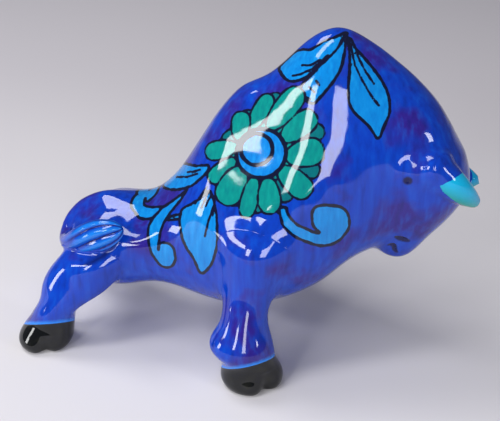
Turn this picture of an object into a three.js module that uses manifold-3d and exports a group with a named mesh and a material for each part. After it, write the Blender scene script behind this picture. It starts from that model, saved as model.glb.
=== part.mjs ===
// A glazed earthenware bull that charges with its head down, built as the potter builds it.
// Two press-moulded half shells are luted together along the spine and belly. Four solid legs,
// two horns and a tail are modelled by hand, luted on and fired with the shell.
// Millimetres. +X is the way the bull faces, +Y its left side, +Z up, and it stands on Z = 0.

import * as THREE from "three";
import { mergeVertices } from "three/addons/utils/BufferGeometryUtils.js";
import Module from "manifold-3d";

const wasm = await Module();
wasm.setup();

// Driving sizes
const bullLength = 235; // from the heels of the hind hooves to the tips of the horns
const bullWidth = 129.4; // across the fore hooves
const bullHeight = 169.5; // to the top of the hump
const wall = 5; // pressed clay wall of the two half shells
const seamGap = 0.3; // film of slip between a luted piece and what it sits on

// Places are hundredths of those three overall sizes: "at" of the length, forward from its
// middle, "out" of the width, from the midplane, and "up" of the height, from the ground.
const forward = (share) => (share / 100) * bullLength;
const outward = (share) => (share / 100) * bullWidth;
const upward = (share) => (share / 100) * bullHeight;

// The firing vent is pierced up through the belly on the seam, from below it into the hollow.
const vent = { at: -8.3, up: 18, radius: 3.5, length: 60 };

const lowerRoundness = 2.2; // how full the underside is: 2 is round, more is boxy
const headRoundness = 2.1;
const endRound = 2; // how far the rump and poll swell past the barrel's end sections
const chinRound = 3.6; // how far the muzzle swells past the head's last section

// The barrel, from rump to poll. "back" and "belly" are the heights of its top and bottom, "flank"
// the height where it is widest, "half" the half width there, and "roof" how the side falls from
// the spine: 2 is round, less is a ridge.
const barrel = [
  { at: -40.3, back: 33, belly: 28.3, flank: 30.7, half: 5.4, roof: 2 },
  { at: -38.6, back: 36.6, belly: 24.2, flank: 30.7, half: 13.1, roof: 2 },
  { at: -35.6, back: 39.5, belly: 19.5, flank: 31.3, half: 19.3, roof: 2 },
  { at: -31.8, back: 42.2, belly: 15.3, flank: 31.9, half: 22.4, roof: 2 },
  { at: -27.1, back: 43.4, belly: 14.5, flank: 32.4, half: 22.8, roof: 1.75 },
  { at: -20.3, back: 46, belly: 16.5, flank: 33.6, half: 22.8, roof: 1.6 },
  { at: -13, back: 57.2, belly: 15.9, flank: 34.2, half: 25.5, roof: 1.65 },
  { at: -6.6, back: 71.7, belly: 14.2, flank: 35.4, half: 30.9, roof: 1.8 },
  { at: -0.7, back: 81.4, belly: 13.6, flank: 36.6, half: 34, roof: 1.8 },
  { at: 5.3, back: 86.1, belly: 15, flank: 38.3, half: 35.5, roof: 1.8 },
  { at: 11.2, back: 94.1, belly: 18, flank: 41.9, half: 34.8, roof: 1.8 },
  { at: 18, back: 100, belly: 23.3, flank: 47.2, half: 31.7, roof: 1.8 },
  { at: 24.8, back: 97.1, belly: 31.6, flank: 53.7, half: 26.7, roof: 1.85 },
  { at: 31.2, back: 90.9, belly: 36, flank: 60.8, half: 22, roof: 1.9 },
  { at: 37.6, back: 82.9, belly: 44.2, flank: 65.5, half: 17.4, roof: 2 },
  { at: 42.7, back: 73.2, belly: 56.6, flank: 64.3, half: 12.8, roof: 2 },
  { at: 45.3, back: 66.1, belly: 58.4, flank: 61.9, half: 7, roof: 2 },
];

// The head hangs from the poll to the muzzle. Its sections stand square to the line between
// those points: "down" is hundredths of that line, "face" and "jaw" are the distances to the front
// and the back of the head in hundredths of its depth, and "half" the half width in hundredths of
// its greatest.
const poll = new THREE.Vector3(forward(38.5), 0, upward(64.9));
const muzzle = new THREE.Vector3(forward(32.9), 0, upward(33));
const headDepth = 51; // from face to jaw, where the head is deepest
const headWidth = 52; // across the cheeks
const head = [
  { down: -23.4, face: 11.8, jaw: -21.6, half: 50 },
  { down: -12.6, face: 26.5, jaw: -35.3, half: 76.9 },
  { down: 1.8, face: 41.2, jaw: -46.1, half: 96.2 },
  { down: 16.2, face: 47.6, jaw: -52, half: 100 },
  { down: 32.4, face: 46.9, jaw: -52.9, half: 98.1 },
  { down: 54, face: 39.4, jaw: -47.1, half: 82.7 },
  { down: 73.8, face: 30, jaw: -37.3, half: 67.3 },
  { down: 90, face: 22.4, jaw: -27.5, half: 55.8 },
  { down: 100.8, face: 14.7, jaw: -18, half: 40.4 },
];

// What is worked into each side of the head, at "down" the head and "face" towards its front.
const brow = { down: 7.2, face: -18.3, radius: 14, proud: 2.4 }; // swelling over the eye
const eye = { down: 11.7, face: -15.2, radius: 1.9, depth: 1.1 }; // pressed with a round stick
const nostril = {
  radius: 1.3,
  depth: 1.2,
  stroke: [
    { down: 71, face: -7 },
    { down: 73.5, face: 0.5 },
    { down: 75.5, face: 8 },
  ],
};
const mouth = {
  radius: 0.9,
  depth: 0.7,
  stroke: [
    { down: 84.3, face: -9.8 },
    { down: 82.6, face: -5.4 },
    { down: 88.8, face: -1.6 },
    { down: 92.4, face: 2 },
  ],
};
const strokeEnd = 0.4; // how thick a pressed stroke is at its ends, as a share of its middle

const cleftWidth = 18; // how wide the cleft of a hoof is, in degrees either side of the toe

// Legs, given for the right side. Each section is level, and its radii "long" fore and aft and
// "wide" across are hundredths of the radius of the hoof.
const foreleg = {
  toe: -50, // where the hoof points, in degrees from forward
  hoofRadius: 15.6,
  cleft: 0.2, // how deep the cleft is pressed, as a share of the hoof's radius
  coronet: { height: 12.5, slope: 28 },
  sections: [
    { up: 0, at: 4.8, out: 39, long: 89.7, wide: 80.1 },
    { up: 1.8, at: 4.8, out: 39, long: 100, wide: 91 },
    { up: 4.7, at: 4.7, out: 39, long: 100, wide: 89.7 },
    { up: 8.3, at: 4, out: 39.4, long: 93.6, wide: 83.3 },
    { up: 12.4, at: 2.9, out: 39.8, long: 102.6, wide: 83.3 },
    { up: 17.7, at: 3.4, out: 40.2, long: 80.8, wide: 76.9 },
    { up: 24.8, at: 3.9, out: 39.4, long: 69.2, wide: 73.7 },
    { up: 30.7, at: 4.2, out: 36.7, long: 78.2, wide: 83.3 },
    { up: 37.2, at: 4.6, out: 31.7, long: 102.6, wide: 102.6 },
    { up: 43.7, at: 5.1, out: 26.3, long: 118.6, wide: 105.8 },
    { up: 50.1, at: 5.3, out: 20.9, long: 109, wide: 89.7 },
  ],
};
const hindleg = {
  toe: -72,
  hoofRadius: 15.4,
  cleft: 0.2,
  coronet: { height: 11, slope: 30 },
  sections: [
    { up: 0, at: -44, out: 25.9, long: 83.8, wide: 89.6 },
    { up: 1.8, at: -43.9, out: 25.9, long: 92.9, wide: 100 },
    { up: 4.7, at: -43.4, out: 25.5, long: 90.9, wide: 93.5 },
    { up: 7.7, at: -42.5, out: 24.7, long: 81.2, wide: 77.9 },
    { up: 11.8, at: -41.1, out: 24.7, long: 73.4, wide: 71.4 },
    { up: 15.9, at: -38.8, out: 24, long: 87, wide: 71.4 },
    { up: 20.6, at: -36.2, out: 21.6, long: 116.9, wide: 77.9 },
    { up: 25.4, at: -34.3, out: 18.5, long: 116.9, wide: 84.4 },
    { up: 30.1, at: -32, out: 14.7, long: 110.4, wide: 77.9 },
    { up: 35.4, at: -30.5, out: 10.8, long: 90.9, wide: 58.4 },
  ],
};

// Horns: round, bent forward, down and in, from roots sunk in the sides of the head. Each has
// three guide points. The left one sits a little lower, as a piece put on by eye does.
const horn = {
  rootRadius: 9.6,
  midRadius: 8.2,
  midWeight: 0.6, // how far out along the horn the middle radius draws it
  tipRadius: 3.4,
  tipRound: 2.6, // how far the blunt point swells past the last ring
  right: [
    { at: 38.5, out: 9.7, up: 65.4 },
    { at: 43.6, out: 16.6, up: 62 },
    { at: 48.5, out: 9.7, up: 53.6 },
  ],
  left: [
    { at: 38.5, out: 10, up: 58 },
    { at: 43.6, out: 14.3, up: 54.6 },
    { at: 49.2, out: 9, up: 53 },
  ],
};

// The tail runs down the rump and turns forward on the right flank into a combed tuft.
const tail = {
  stem: 4.6,
  path: [
    { at: -27.5, out: 0, up: 39.5 },
    { at: -32.2, out: 0, up: 40.9 },
    { at: -36, out: 0, up: 38.9 },
    { at: -39, out: 1.2, up: 35.4 },
    { at: -40.1, out: 6.2, up: 31.9 },
    { at: -38.8, out: 13.9, up: 31.6 },
    { at: -34.7, out: 20.5, up: 35.1 },
    { at: -29.6, out: 23.2, up: 38.9 },
    { at: -24.5, out: 24, up: 41.9 },
  ],
  tuftRadius: 8.6, // half the width of the tuft
  tuftDepth: 5, // and half its thickness
  tuftFrom: 0.45, // where along the tail the tuft starts to widen
  tuftFull: 0.78, // and where it is widest
  tuftTaper: 0.97, // how much of its size the tuft loses by its last ring
  tipRound: 0.8, // how far the point that closes it stands past that ring
  locks: 12, // combed locks round the tuft
  lockDepth: 0.1, // how deep they are combed, as a share of the thickness
};

const blue = new THREE.MeshStandardMaterial({ color: 0x1a2fb4, roughness: 0.12, metalness: 0 });
const turquoise = new THREE.MeshStandardMaterial({ color: 0x14a3b8, roughness: 0.12, metalness: 0 });
const black = new THREE.MeshStandardMaterial({ color: 0x14171a, roughness: 0.12, metalness: 0 });

const degrees = Math.PI / 180;
const sides = { right: -1, left: 1 };

// A smooth curve through four equally spaced values, at the share f of the middle span.
function catmullRom(a, b, c, d, f) {
  const slopeIn = (c - a) / 2;
  const slopeOut = (d - b) / 2;
  const square = 3 * (c - b) - 2 * slopeIn - slopeOut;
  const cube = 2 * (b - c) + slopeIn + slopeOut;
  return b + f * (slopeIn + f * (square + f * cube));
}

// Every size of a row of sections at the station s, where whole numbers are the sections.
function sectionAt(sections, s) {
  const last = sections.length - 1;
  const i = Math.min(Math.floor(s), last - 1);
  const near = [i - 1, i, i + 1, i + 2].map((n) => sections[THREE.MathUtils.clamp(n, 0, last)]);
  const made = {};
  for (const key of Object.keys(sections[0])) {
    made[key] = catmullRom(...near.map((section) => section[key]), s - i);
  }
  return made;
}

// Stations from one end of a row of sections to the other, "perSection" to each span.
function stations(sections, perSection, from = 0, to = sections.length - 1) {
  const count = Math.round((to - from) * perSection);
  return Array.from({ length: count + 1 }, (_, n) => from + ((to - from) * n) / count);
}

function power(value, exponent) {
  return Math.sign(value) * Math.abs(value) ** exponent;
}

// One closed ring of points per section, joined into a skin with a point at each end.
function loft(rings, firstPole, lastPole) {
  const around = rings[0].length;
  const positions = [...rings.flat(), firstPole, lastPole].flatMap((point) => point.toArray());
  const first = rings.length * around;
  const index = [];
  for (let j = 0; j < around; j++) {
    const next = (j + 1) % around;
    index.push(first, next, j);
    for (let i = 0; i + 1 < rings.length; i++) {
      const low = i * around;
      const high = low + around;
      index.push(low + j, low + next, high + j, low + next, high + next, high + j);
    }
    index.push(first + 1, first - around + j, first - around + next);
  }
  const skin = new THREE.BufferGeometry();
  skin.setAttribute("position", new THREE.Float32BufferAttribute(positions, 3));
  skin.setIndex(index);
  return solid(skin);
}

// A closed geometry as a solid, turned outside out if its faces point inwards.
function solid(geometry) {
  const bare = geometry.clone();
  bare.deleteAttribute("normal");
  bare.deleteAttribute("uv");
  const merged = mergeVertices(bare, 1e-4);
  const triVerts = new Uint32Array(merged.index.array);
  const vertProperties = merged.attributes.position.array;
  const made = new wasm.Manifold(new wasm.Mesh({ numProp: 3, vertProperties, triVerts }));
  if (made.volume() > 0) return made;
  triVerts.reverse();
  return new wasm.Manifold(new wasm.Mesh({ numProp: 3, vertProperties, triVerts }));
}

function mean(points) {
  const sum = points.reduce((total, point) => total.add(point), new THREE.Vector3());
  return sum.divideScalar(points.length);
}

// A ring of the barrel: a rounded section that comes to a softer or sharper ridge at the spine.
function barrelRing(section, grow, around) {
  const above = upward(section.back - section.flank) + grow;
  const below = upward(section.flank - section.belly) + grow;
  const half = outward(section.half) + grow;
  return Array.from({ length: around }, (_, n) => {
    const angle = (n / around) * 2 * Math.PI;
    const up = Math.cos(angle);
    const shape = 2 / (up > 0 ? section.roof : lowerRoundness);
    const z = upward(section.flank) + (up > 0 ? above : below) * power(up, shape);
    return new THREE.Vector3(forward(section.at), half * power(Math.sin(angle), shape), z);
  });
}

function barrelLoft(grow, from, to, perSection, around) {
  const cuts = stations(barrel, perSection, from, to).map((s) => sectionAt(barrel, s));
  const rings = cuts.map((section) => barrelRing(section, grow, around));
  const ends = [cuts[0], cuts[cuts.length - 1]].map((section, end) => {
    const roundOut = (end ? 1 : -1) * (endRound + grow);
    return new THREE.Vector3(forward(section.at) + roundOut, 0, upward(section.flank));
  });
  return loft(rings, ...ends);
}

// The frame of the head: down its length, and out towards its face.
const down = muzzle.clone().sub(poll).normalize();
const faceward = new THREE.Vector3(-down.z, 0, down.x);
const headLength = poll.distanceTo(muzzle);

function headPoint(along, out, y) {
  return poll.clone().addScaledVector(down, along).addScaledVector(faceward, out).setY(y);
}

// A section of the head in millimetres.
function headSizes(section) {
  const middle = (((section.face + section.jaw) / 2) * headDepth) / 100;
  const depth = (((section.face - section.jaw) / 2) * headDepth) / 100;
  const half = ((section.half / 100) * headWidth) / 2;
  return { along: (section.down / 100) * headLength, middle, depth, half };
}

function headRing({ along, middle, depth, half }, grow, around) {
  const shape = 2 / headRoundness;
  return Array.from({ length: around }, (_, n) => {
    const angle = (n / around) * 2 * Math.PI;
    const out = middle + (depth + grow) * power(Math.cos(angle), shape);
    return headPoint(along, out, (half + grow) * power(Math.sin(angle), shape));
  });
}

function headLoft(grow, perSection, around) {
  const cuts = stations(head, perSection).map((s) => headSizes(sectionAt(head, s)));
  const rings = cuts.map((cut) => headRing(cut, grow, around));
  const [crown, chin] = [cuts[0], cuts[cuts.length - 1]];
  const chinTip = headPoint(chin.along + chinRound + grow, chin.middle, 0);
  return loft(rings, headPoint(crown.along, crown.middle, 0), chinTip);
}

// A point of the skin on the left side of the head, and the way out of the clay there.
function headSkin(place) {
  const s = head.findIndex((section) => section.down > place.down);
  const share = (place.down - head[s - 1].down) / (head[s].down - head[s - 1].down);
  const { along, middle, depth, half } = headSizes(sectionAt(head, s - 1 + share));
  const out = (place.face / 100) * headDepth;
  const across = (out - middle) / depth;
  const y = half * (1 - Math.abs(across) ** headRoundness) ** (1 / headRoundness);
  const slope = power(across, headRoundness - 1) / depth;
  const way = faceward.clone().multiplyScalar(slope).setY(power(y / half, headRoundness - 1) / half);
  return { point: headPoint(along, out, y), way: way.normalize() };
}

// A low swelling of the skin over one eye; side is -1 for the right and 1 for the left.
function browSwelling(side, grow) {
  const { point } = headSkin(brow);
  const ball = new THREE.SphereGeometry(brow.radius + grow, 18, 12);
  ball.translate(point.x, side * (point.y - brow.radius + brow.proud), point.z);
  return solid(ball);
}

// A groove drawn into the head with a round stick of some radius, to some depth.
function grooveAt({ radius, depth, stroke }, side) {
  const points = stroke.map((place) => {
    const { point, way } = headSkin(place);
    return point.addScaledVector(way, radius - depth).multiply(new THREE.Vector3(1, side, 1));
  });
  const curve = new THREE.CatmullRomCurve3(points);
  const steps = 8;
  const around = 10;
  const frames = curve.computeFrenetFrames(steps, false);
  const rings = Array.from({ length: steps + 1 }, (_, i) => {
    const taper = strokeEnd + (1 - strokeEnd) * Math.sin((Math.PI * i) / steps);
    return Array.from({ length: around }, (_, n) => {
      const angle = (n / around) * 2 * Math.PI;
      return curve
        .getPointAt(i / steps)
        .addScaledVector(frames.normals[i], radius * taper * Math.cos(angle))
        .addScaledVector(frames.binormals[i], radius * taper * Math.sin(angle));
    });
  });
  return loft(rings, mean(rings[0]), mean(rings[steps]));
}

// What is pressed into one side of the head: the eye, the nostril and the mouth.
function pressedMarks(side) {
  const { point, way } = headSkin(eye);
  const seat = point.addScaledVector(way, eye.radius - eye.depth);
  const ball = new THREE.SphereGeometry(eye.radius, 12, 8);
  ball.translate(seat.x, side * seat.y, seat.z);
  return solid(ball).add(grooveAt(nostril, side)).add(grooveAt(mouth, side));
}

// The outside of the body and head, grown by the gap that a luted piece keeps to it.
function envelope(grow) {
  const body = barrelLoft(grow, 0, barrel.length - 1, 2, 36).add(headLoft(grow, 2, 28));
  return body.add(browSwelling(-1, grow)).add(browSwelling(1, grow));
}

function box(low, high) {
  const size = high.clone().sub(low);
  const block = new THREE.BoxGeometry(...size.toArray());
  block.translate(...low.clone().addScaledVector(size, 0.5).toArray());
  return solid(block);
}

// One half of the hollow shell: the envelope less its inside and the vent, cut along the seam.
function halfShell(side) {
  const inside = barrelLoft(-wall, 2, barrel.length - 3, 1, 24).add(headLoft(-wall, 1, 20));
  const hole = new THREE.CylinderGeometry(vent.radius, vent.radius, vent.length, 20);
  hole.rotateX(Math.PI / 2).translate(forward(vent.at), 0, upward(vent.up));
  const shell = envelope(0).subtract(inside).subtract(solid(hole)).subtract(pressedMarks(side));
  const reach = 300;
  const low = new THREE.Vector3(-reach, side < 0 ? -reach : 0, -reach);
  const high = new THREE.Vector3(reach, side < 0 ? 0 : reach, reach);
  return shell.intersect(box(low, high));
}

// A level ring of a leg, with the cleft of the hoof pressed into it where the toes point.
function legRing(leg, section, side, grow, around) {
  const up = upward(section.up);
  const cleftFade = THREE.MathUtils.clamp(1 - up / leg.coronet.height, 0, 1);
  const long = (section.long / 100) * leg.hoofRadius + grow;
  const wide = (section.wide / 100) * leg.hoofRadius + grow;
  return Array.from({ length: around }, (_, n) => {
    const angle = (n / around) * 2 * Math.PI;
    const away = Math.atan2(Math.sin(angle - leg.toe * degrees), Math.cos(angle - leg.toe * degrees));
    const nearness = Math.exp(-((away / (cleftWidth * degrees)) ** 2));
    const pinch = 1 - leg.cleft * Math.sqrt(cleftFade) * nearness;
    const x = forward(section.at) + long * pinch * Math.cos(angle);
    const out = outward(section.out) - wide * pinch * Math.sin(angle);
    return new THREE.Vector3(x, side * out, up);
  });
}

function legLoft(leg, side, grow) {
  const cuts = stations(leg.sections, 2).map((s) => sectionAt(leg.sections, s));
  const rings = cuts.map((section) => legRing(leg, section, side, grow, 32));
  return loft(rings, mean(rings[0]), mean(rings[rings.length - 1]));
}

// A leg parts into shank and hoof at the coronet, a plane that rises towards the toes.
function partLeg(leg, side) {
  const toe = new THREE.Vector3(Math.cos(leg.toe * degrees), -side * Math.sin(leg.toe * degrees), 0);
  const tilt = leg.coronet.slope * degrees;
  const normal = toe.clone().multiplyScalar(-Math.sin(tilt)).setZ(Math.cos(tilt));
  const foot = leg.sections[0];
  const centre = new THREE.Vector3(forward(foot.at), side * outward(foot.out), leg.coronet.height);
  const offset = normal.dot(centre);
  const whole = legLoft(leg, side, 0);
  const shank = whole.trimByPlane(normal.toArray(), offset + seamGap / 2);
  const hoof = whole.trimByPlane(normal.clone().negate().toArray(), -offset + seamGap / 2);
  return { shank, hoof };
}

// A place of a table as a point, on the right or the left side.
function placed({ at, out, up }, side) {
  return new THREE.Vector3(forward(at), side * outward(out), upward(up));
}

function hornLoft(guides, side) {
  const points = guides.map((guide) => placed(guide, side));
  const curve = new THREE.QuadraticBezierCurve3(...points);
  const radii = new THREE.QuadraticBezierCurve(
    new THREE.Vector2(0, horn.rootRadius),
    new THREE.Vector2(horn.midWeight, horn.midRadius),
    new THREE.Vector2(1, horn.tipRadius),
  );
  const steps = 10;
  const around = 18;
  const frames = curve.computeFrenetFrames(steps, false);
  const rings = Array.from({ length: steps + 1 }, (_, i) => {
    const centre = curve.getPointAt(i / steps);
    const radius = radii.getPoint(i / steps).y;
    return Array.from({ length: around }, (_, n) => {
      const angle = (n / around) * 2 * Math.PI;
      return centre
        .clone()
        .addScaledVector(frames.normals[i], radius * Math.cos(angle))
        .addScaledVector(frames.binormals[i], radius * Math.sin(angle));
    });
  });
  const point = curve.getPointAt(1).addScaledVector(frames.tangents[steps], horn.tipRound);
  return loft(rings, curve.getPointAt(0), point);
}

// The tail: a round stem that widens into a flat tuft with combed locks.
function tailLoft() {
  const path = tail.path.map((place) => placed(place, sides.right));
  const curve = new THREE.CatmullRomCurve3(path, false, "centripetal");
  const steps = 30;
  const around = 28;
  const offFlank = new THREE.Vector3(0, sides.right, 0);
  const rings = Array.from({ length: steps + 1 }, (_, i) => {
    const t = i / steps;
    const centre = curve.getPointAt(t);
    const along = curve.getTangentAt(t);
    const bushy = THREE.MathUtils.smoothstep(t, tail.tuftFrom, tail.tuftFull);
    const past = Math.max((t - tail.tuftFull) / (1 - tail.tuftFull), 0);
    const end = Math.sqrt(1 - (tail.tuftTaper * past) ** 2);
    const across = new THREE.Vector3().crossVectors(along, offFlank).normalize();
    const face = new THREE.Vector3().crossVectors(across, along).normalize();
    const wide = THREE.MathUtils.lerp(tail.stem, tail.tuftRadius, bushy) * end;
    const deep = THREE.MathUtils.lerp(tail.stem, tail.tuftDepth, bushy) * end;
    return Array.from({ length: around }, (_, n) => {
      const angle = (n / around) * 2 * Math.PI;
      const lock = 1 + tail.lockDepth * bushy * Math.cos(angle * tail.locks);
      return centre
        .clone()
        .addScaledVector(across, wide * Math.cos(angle))
        .addScaledVector(face, deep * lock * Math.sin(angle));
    });
  });
  const tip = curve.getPointAt(1).addScaledVector(curve.getTangentAt(1), tail.tipRound);
  return loft(rings, mean(rings[0]), tip);
}

function named(name, made, material) {
  const { vertProperties, triVerts } = made.getMesh();
  const geometry = new THREE.BufferGeometry();
  geometry.setAttribute("position", new THREE.BufferAttribute(new Float32Array(vertProperties), 3));
  geometry.setIndex(new THREE.BufferAttribute(new Uint32Array(triVerts), 1));
  const mesh = new THREE.Mesh(geometry, material);
  mesh.name = name;
  return mesh;
}

const bull = new THREE.Group();
const seat = envelope(seamGap);
for (const [sideName, side] of Object.entries(sides)) {
  bull.add(named(`${sideName}_body_half`, halfShell(side), blue));
  for (const [legName, leg] of Object.entries({ foreleg, hindleg })) {
    const { shank, hoof } = partLeg(leg, side);
    bull.add(named(`${sideName}_${legName}`, shank.subtract(seat), blue));
    bull.add(named(`${sideName}_${legName}_hoof`, hoof, black));
  }
  bull.add(named(`${sideName}_horn`, hornLoft(horn[sideName], side).subtract(seat), turquoise));
}
const tailSeat = seat.add(legLoft(hindleg, sides.right, seamGap));
bull.add(named("tail", tailLoft().subtract(tailSeat), blue));

// The part's origin is on the ground, under the middle of its length and width.
const bounds = new THREE.Box3().setFromObject(bull);
const middle = bounds.getCenter(new THREE.Vector3());
bull.position.set(-middle.x, -middle.y, -bounds.min.z);

export default bull;
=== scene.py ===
import math

import bpy
import numpy as np
from mathutils import Matrix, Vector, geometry


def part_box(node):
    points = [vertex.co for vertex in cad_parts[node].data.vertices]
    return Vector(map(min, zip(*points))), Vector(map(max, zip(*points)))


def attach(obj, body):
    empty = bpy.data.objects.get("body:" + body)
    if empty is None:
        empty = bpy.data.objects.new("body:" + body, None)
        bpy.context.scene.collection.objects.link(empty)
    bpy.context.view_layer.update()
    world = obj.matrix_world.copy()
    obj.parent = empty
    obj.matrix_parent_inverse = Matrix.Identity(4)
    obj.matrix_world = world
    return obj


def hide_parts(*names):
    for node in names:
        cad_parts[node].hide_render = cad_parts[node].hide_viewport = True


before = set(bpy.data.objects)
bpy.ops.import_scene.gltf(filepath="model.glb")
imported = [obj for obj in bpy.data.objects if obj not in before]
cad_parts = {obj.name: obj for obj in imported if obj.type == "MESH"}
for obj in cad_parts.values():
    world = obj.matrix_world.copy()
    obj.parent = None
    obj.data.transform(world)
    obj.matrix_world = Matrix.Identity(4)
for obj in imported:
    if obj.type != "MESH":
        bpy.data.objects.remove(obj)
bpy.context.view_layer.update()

# A glazed earthenware bull that charges with its head down. It is worked out in millimetres and
# turned to metres when a mesh is made. Places are hundredths of its length, width and height.
bull = {"length": 235, "width": 129.4, "height": 169.5, "middle": -0.208}
metre = 1000
sides = {"right": -1, "left": 1}


# Hundredths of the bull's length, width and height as millimetres from its middle, its seam and
# the ground.
def forward(share):
    return np.asarray(share, float) / 100 * bull["length"] + bull["middle"]


def outward(share):
    return np.asarray(share, float) / 100 * bull["width"]


def upward(share):
    return np.asarray(share, float) / 100 * bull["height"]


# Each vector divided by its own length.
def unit(vectors):
    return vectors / np.linalg.norm(vectors, axis=-1, keepdims=True)


# 0 below low, 1 above high, and a smooth S of the value between.
def smoothStep(value, low, high):
    t = np.clip((value - low) / (high - low), 0, 1)
    return t * t * (3 - 2 * t)


# The photograph's view: a camera on the right side, a little ahead of square, looking down.
view = {"azimuth": 9, "elevation": 28, "distance": 500, "target": (2.17, 0, 70), "lens": 69.12}


# The ways to the right, up and back of something that is looked at from an azimuth and elevation.
def lookingFrom(azimuth, elevation):
    turn, rise = math.radians(azimuth), math.radians(elevation)
    right = np.array([math.cos(turn), math.sin(turn), 0])
    level = math.cos(rise)
    back = np.array([math.sin(turn) * level, -math.cos(turn) * level, math.sin(rise)])
    return right, np.cross(back, right), back


# A new object that holds a mesh, camera or lamp and is in the scene.
def linked(name, data):
    made = bpy.data.objects.new(name, data)
    bpy.context.scene.collection.objects.link(made)
    return made


# Puts a camera or lamp at a distance along the way back from a target, both in millimetres, and
# rolls it about that way.
def standBack(name, data, azimuth, elevation, distance, target, roll=0):
    right, up, back = lookingFrom(azimuth, elevation)
    place = (np.array(target) + distance * back) / metre
    c, s = math.cos(math.radians(roll)), math.sin(math.radians(roll))
    turned = np.eye(4)
    turned[:3] = np.stack([c * right + s * up, c * up - s * right, back, place], 1)
    made = linked(name, data)
    made.matrix_world = Matrix(turned.tolist())
    return made


# A lens on a sensor 36 mm wide that fills the frame with the bull as the photograph does.
def makeCamera():
    data = bpy.data.cameras.new("camera")
    data.lens = view["lens"]
    data.sensor_width = 36
    data.clip_start = 0.01
    data.clip_end = 20
    place = view["azimuth"], view["elevation"], view["distance"], view["target"]
    bpy.context.scene.camera = standBack("camera", data, *place)


# A natural cubic curve through one row of values per knot, straight beyond its ends. It gives one
# array per column for an array of places.
def smoothCurve(knots, columns):
    knots = np.asarray(knots, float)
    values = np.stack([np.asarray(column, float) for column in columns], 1)
    gap = np.diff(knots)[:, None]
    slopes = np.diff(values, axis=0) / gap
    count = len(knots)
    system = np.eye(count)
    target = np.zeros_like(values)
    for i in range(1, count - 1):
        system[i, i - 1 : i + 2] = gap[i - 1, 0], 2 * (gap[i - 1, 0] + gap[i, 0]), gap[i, 0]
        target[i] = 6 * (slopes[i] - slopes[i - 1])
    bend = np.linalg.solve(system, target)

    def at(place):
        inside = np.clip(place, knots[0], knots[-1])
        i = np.clip(np.searchsorted(knots, inside) - 1, 0, count - 2)
        h = gap[i]
        b = (inside - knots[i])[:, None] / h
        a = 1 - b
        value = a * values[i] + b * values[i + 1]
        value += ((a**3 - a) * bend[i] + (b**3 - b) * bend[i + 1]) * h * h / 6
        slope = slopes[i] + ((3 * b * b - 1) * bend[i + 1] - (3 * a * a - 1) * bend[i]) * h / 6
        return (value + slope * (place - inside)[:, None]).T

    return at


# The skin is where a field is zero; a field is below zero in the clay. This is the lesser of two
# fields, rounded by a cubic where they are within "width" of each other.
def joined(a, b, width):
    near = np.maximum(width - np.abs(a - b), 0) / width
    return np.minimum(a, b) - near**3 * width / 6


# The first field with the clay of the second taken out of it, as softly.
def carved(a, b, width):
    return -joined(-a, b, width)


# Half widths squared under "least" are past a tip, and "steady", in millimetres, keeps the field
# even near a thin middle.
thinnest = {"least": 0.01, "steady": 6}


# Distance to a rounded section, nearly. a and b are measured from its middle, aSquare and bSquare
# are its half widths squared, and flat draws in its corners by the fourth harmonic of the angle.
# Past a tip the squares are below zero and the field grows with them.
def sectionField(a, b, aSquare, bSquare, flat=0, shrink=1):
    least = np.minimum(aSquare, bSquare)
    aa, bb = a * a + 1e-6, b * b + 1e-6
    y = aa / np.maximum(aSquare, thinnest["least"])
    z = bb / np.maximum(bSquare, thinnest["least"])
    q = y + z
    reach = (aa + bb) / q * ((1 - flat * 4 * y * z / (q * q)) * shrink) ** 2
    reach = np.where(least > thinnest["least"], reach, least)
    return (aa + bb - reach) / (2 * np.sqrt(np.maximum(reach, 0) + thinnest["steady"] ** 2))


# How far a superellipse of some roundness lies inside its ellipse at the corner.
def cornerFlatness(roundness):
    return 1 - 2 ** (0.5 - 1 / np.asarray(roundness, float))


# A section table's column with its end values held, or the tip value, past both ends.
def tipped(values, tip=None):
    ends = (values[0], values[-1]) if tip is None else (tip, tip)
    return np.concatenate([[ends[0]], values, [ends[1]]])


# A row of knots with one more beyond each end.
def extended(knots, before, after):
    return np.concatenate([[knots[0] - before], knots, [knots[-1] + after]])


# Stations along the bull: heights of the back, belly and flank, half the width, and how round the
# section is above its flank, where 2 is an ellipse and less is more like a tent.
barrel = {
    "endRound": 2,
    "lowerRoundness": 2.2,
    "flankBlend": 8,
    # at, back, belly, flank, half, roof
    "sections": (
        (-40.3, 33, 28.3, 30.7, 5.4, 2),
        (-38.6, 36.6, 24.2, 30.7, 13.1, 2),
        (-35.6, 39.5, 19.5, 31.3, 19.3, 2),
        (-31.8, 42.2, 15.3, 31.9, 22.4, 2),
        (-27.1, 43.4, 14.5, 32.4, 22.8, 1.75),
        (-20.3, 46, 16.5, 33.6, 22.8, 1.6),
        (-13, 57.2, 15.9, 34.2, 25.5, 1.65),
        (-6.6, 71.7, 14.2, 35.4, 30.9, 1.65),
        (-0.7, 81.4, 13.6, 36.6, 34, 1.5),
        (5.3, 86.1, 15, 38.3, 35.5, 1.45),
        (11.2, 94.1, 18, 41.9, 34.8, 1.45),
        (18, 100, 23.3, 47.2, 31.7, 1.45),
        (24.8, 97.1, 31.6, 53.7, 26.7, 1.55),
        (31.2, 90.9, 36, 60.8, 22, 1.75),
        (37.6, 82.9, 44.2, 65.5, 17.4, 2),
        (42.7, 73.2, 56.6, 64.3, 12.8, 2),
        (45.3, 66.1, 58.4, 61.9, 7, 2),
    ),
}


# The stations joined by smooth curves. Half axes are kept squared and reach zero beyond the last
# stations, so that both ends close round.
def barrelCurve():
    at, back, belly, flank, half, roof = np.array(barrel["sections"], float).T
    middle = upward(flank)
    knots = extended(forward(at), barrel["endRound"], barrel["endRound"])
    above = tipped((upward(back) - middle) ** 2, 0)
    below = tipped((middle - upward(belly)) ** 2, 0)
    width = tipped(outward(half) ** 2, 0)
    return smoothCurve(knots, [tipped(middle), above, below, width, tipped(cornerFlatness(roof))])


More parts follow.
